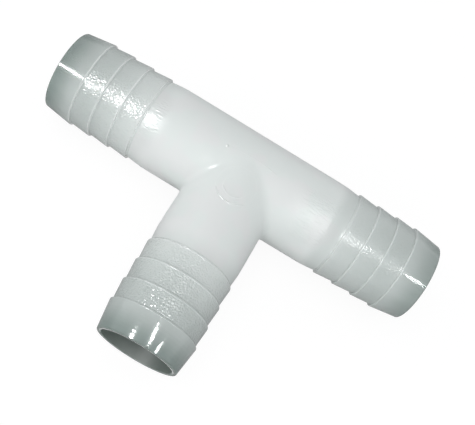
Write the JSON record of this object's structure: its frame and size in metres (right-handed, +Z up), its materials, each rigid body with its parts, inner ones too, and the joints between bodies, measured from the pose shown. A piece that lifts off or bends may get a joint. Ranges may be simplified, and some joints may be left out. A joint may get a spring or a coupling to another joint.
{
  "type": "barbed tee connector",
  "caption": "Equal barbed hose tee moulded in natural translucent nylon, a straight run with a branch at right angles, for joining soft irrigation hose.",
  "frame": {"origin": "middle of the tee's length and depth, on the plane that its ridges rest on; the axes of the run and the branch cross at x 0, y 0.0235, z 0.0135", "axes": "+X along the run, +Y from the branch towards the run's back, so the branch points along -Y, +Z up from the surface that the tee lies on"},
  "size_m": [0.121, 0.074, 0.027],
  "materials": {
    "body_plastic": "natural translucent nylon, smooth semi-gloss moulded skin",
    "tail_plastic": "natural translucent nylon, grained ridges and polished lead-in cone"
  },
  "bodies": {
    "root": {"run_barrel": "body_plastic", "branch_neck": "body_plastic", "run_left_tail": "tail_plastic", "run_right_tail": "tail_plastic", "branch_tail": "tail_plastic"}
  },
  "joints": []
}
